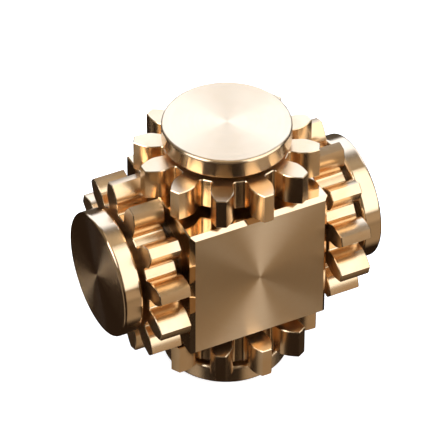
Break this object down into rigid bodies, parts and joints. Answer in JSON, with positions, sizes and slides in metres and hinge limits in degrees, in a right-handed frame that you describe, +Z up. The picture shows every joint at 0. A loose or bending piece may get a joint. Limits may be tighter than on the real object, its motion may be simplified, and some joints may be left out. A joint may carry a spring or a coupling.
{
  "type": "meshed gear desk fidget",
  "caption": "Square brass block ringed by spur gears that mesh at right angles in a closed loop, each turning on a ball bearing under a round cap.",
  "frame": {"origin": "centre of the block, where the gear axes cross", "axes": "+Z up through the top gear's axis; X along the left and right gears' axis, +X to the right; +Y to the back, from the front turned face of the block to its back face"},
  "size_m": [0.0436, 0.028, 0.0436],
  "materials": {
    "block_brass": "faces lathe-turned, edges chamfered and polished",
    "turned_brass": "concentric turned face, polished rim",
    "gear_brass": "hobbed teeth, tumbled to a satin polish",
    "spacer_brass": "turned",
    "bearing_steel": "ground",
    "ball_steel": "lapped",
    "cage_steel": "pressed",
    "shield_steel": "pressed"
  },
  "bodies": {
    "core": {"core_block": "block_brass", "top_cap": "turned_brass", "top_spacer": "spacer_brass", "top_bearing_inner_race": "bearing_steel", "bottom_cap": "turned_brass", "bottom_spacer": "spacer_brass", "bottom_bearing_inner_race": "bearing_steel", "left_cap": "turned_brass", "left_spacer": "spacer_brass", "left_bearing_inner_race": "bearing_steel", "right_cap": "turned_brass", "right_spacer": "spacer_brass", "right_bearing_inner_race": "bearing_steel"},
    "top_gear_body": {"top_gear": "gear_brass", "top_bearing_outer_race": "bearing_steel", "top_bearing_inner_shield": "shield_steel", "top_bearing_outer_shield": "shield_steel"},
    "top_cage_body": {"top_bearing_cage": "cage_steel", "top_bearing_balls": "ball_steel"},
    "bottom_gear_body": {"bottom_gear": "gear_brass", "bottom_bearing_outer_race": "bearing_steel", "bottom_bearing_inner_shield": "shield_steel", "bottom_bearing_outer_shield": "shield_steel"},
    "bottom_cage_body": {"bottom_bearing_cage": "cage_steel", "bottom_bearing_balls": "ball_steel"},
    "left_gear_body": {"left_gear": "gear_brass", "left_bearing_outer_race": "bearing_steel", "left_bearing_inner_shield": "shield_steel", "left_bearing_outer_shield": "shield_steel"},
    "left_cage_body": {"left_bearing_cage": "cage_steel", "left_bearing_balls": "ball_steel"},
    "right_gear_body": {"right_gear": "gear_brass", "right_bearing_outer_race": "bearing_steel", "right_bearing_inner_shield": "shield_steel", "right_bearing_outer_shield": "shield_steel"},
    "right_cage_body": {"right_bearing_cage": "cage_steel", "right_bearing_balls": "ball_steel"}
  },
  "joints": [
    {"name": "top_gear_spin", "type": "hinge", "parent": "core", "child": "top_gear_body", "pos_m": [0, 0, 0], "axis": [0, 0, 1], "continuous": true},
    {"name": "bottom_gear_spin", "type": "hinge", "parent": "core", "child": "bottom_gear_body", "pos_m": [0, 0, 0], "axis": [0, 0, 1], "continuous": true},
    {"name": "left_gear_spin", "type": "hinge", "parent": "core", "child": "left_gear_body", "pos_m": [0, 0, 0], "axis": [1, 0, 0], "continuous": true},
    {"name": "right_gear_spin", "type": "hinge", "parent": "core", "child": "right_gear_body", "pos_m": [0, 0, 0], "axis": [1, 0, 0], "continuous": true},
    {"name": "top_cage_orbit", "type": "hinge", "parent": "core", "child": "top_cage_body", "pos_m": [0, 0, 0], "axis": [0, 0, 1], "continuous": true},
    {"name": "bottom_cage_orbit", "type": "hinge", "parent": "core", "child": "bottom_cage_body", "pos_m": [0, 0, 0], "axis": [0, 0, 1], "continuous": true},
    {"name": "left_cage_orbit", "type": "hinge", "parent": "core", "child": "left_cage_body", "pos_m": [0, 0, 0], "axis": [1, 0, 0], "continuous": true},
    {"name": "right_cage_orbit", "type": "hinge", "parent": "core", "child": "right_cage_body", "pos_m": [0, 0, 0], "axis": [1, 0, 0], "continuous": true}
  ],
  "couplings": [
    {"joint": "bottom_gear_spin", "follows": "top_gear_spin", "ratio": -1},
    {"joint": "left_gear_spin", "follows": "top_gear_spin", "ratio": 1},
    {"joint": "right_gear_spin", "follows": "top_gear_spin", "ratio": -1},
    {"joint": "top_cage_orbit", "follows": "top_gear_spin", "ratio": 0.58336},
    {"joint": "bottom_cage_orbit", "follows": "top_gear_spin", "ratio": -0.58336},
    {"joint": "left_cage_orbit", "follows": "top_gear_spin", "ratio": 0.58336},
    {"joint": "right_cage_orbit", "follows": "top_gear_spin", "ratio": -0.58336}
  ]
}
